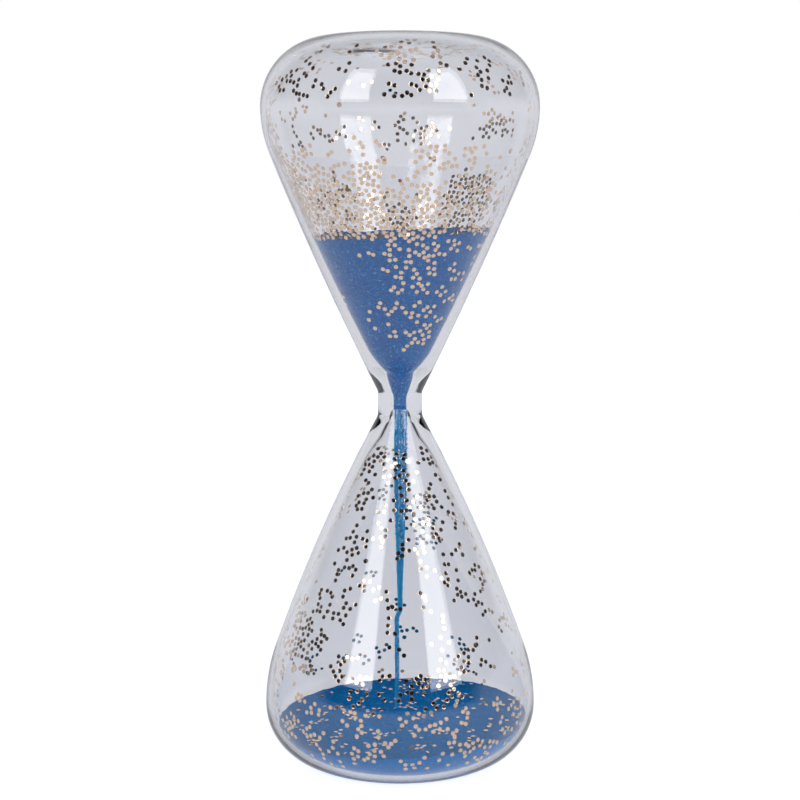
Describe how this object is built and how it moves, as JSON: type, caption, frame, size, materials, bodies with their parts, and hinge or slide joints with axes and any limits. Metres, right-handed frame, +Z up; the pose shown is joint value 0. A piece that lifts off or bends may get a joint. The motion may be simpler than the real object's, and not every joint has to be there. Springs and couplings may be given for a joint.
{
  "type": "hourglass",
  "caption": "Frameless glass sand timer: two blown bulbs joined at a heavy neck, blue sand running down, loose gold glitter flakes inside.",
  "frame": {"origin": "centre of the base, on the surface the timer stands on", "axes": "+Z up along the axis of both bulbs; the sand surfaces rise slightly towards +X; the fill hole seal is on the -X side of the top"},
  "size_m": [0.0606, 0.0606, 0.16],
  "materials": {
    "clear_glass": "clear blown borosilicate glass, fire polished",
    "blue_sand": "fine dyed quartz sand, matt",
    "gold_foil": "metallised polyester film, mirror bright gold"
  },
  "bodies": {
    "root": {"lower_bulb": "clear_glass", "neck_tube": "clear_glass", "upper_bulb": "clear_glass", "fill_hole_seal": "clear_glass", "upper_sand": "blue_sand", "lower_sand": "blue_sand", "sand_stream": "blue_sand", "glitter_flake_01": "gold_foil", "glitter_flake_02": "gold_foil", "glitter_flake_03": "gold_foil", "glitter_flake_04": "gold_foil", "glitter_flake_05": "gold_foil", "glitter_flake_06": "gold_foil", "glitter_flake_07": "gold_foil", "glitter_flake_08": "gold_foil", "glitter_flake_09": "gold_foil", "glitter_flake_10": "gold_foil", "glitter_flake_11": "gold_foil", "glitter_flake_12": "gold_foil", "glitter_flake_13": "gold_foil", "glitter_flake_14": "gold_foil", "glitter_flake_15": "gold_foil", "glitter_flake_16": "gold_foil", "glitter_flake_17": "gold_foil", "glitter_flake_18": "gold_foil", "glitter_flake_19": "gold_foil", "glitter_flake_20": "gold_foil", "glitter_flake_21": "gold_foil", "glitter_flake_22": "gold_foil", "glitter_flake_23": "gold_foil", "glitter_flake_24": "gold_foil", "glitter_flake_25": "gold_foil", "glitter_flake_26": "gold_foil", "glitter_flake_27": "gold_foil", "glitter_flake_28": "gold_foil", "glitter_flake_29": "gold_foil", "glitter_flake_30": "gold_foil", "glitter_flake_31": "gold_foil", "glitter_flake_32": "gold_foil", "glitter_flake_33": "gold_foil", "glitter_flake_34": "gold_foil", "glitter_flake_35": "gold_foil", "glitter_flake_36": "gold_foil", "glitter_flake_37": "gold_foil", "glitter_flake_38": "gold_foil", "glitter_flake_39": "gold_foil", "glitter_flake_40": "gold_foil", "glitter_flake_41": "gold_foil", "glitter_flake_42": "gold_foil"}
  },
  "joints": []
}
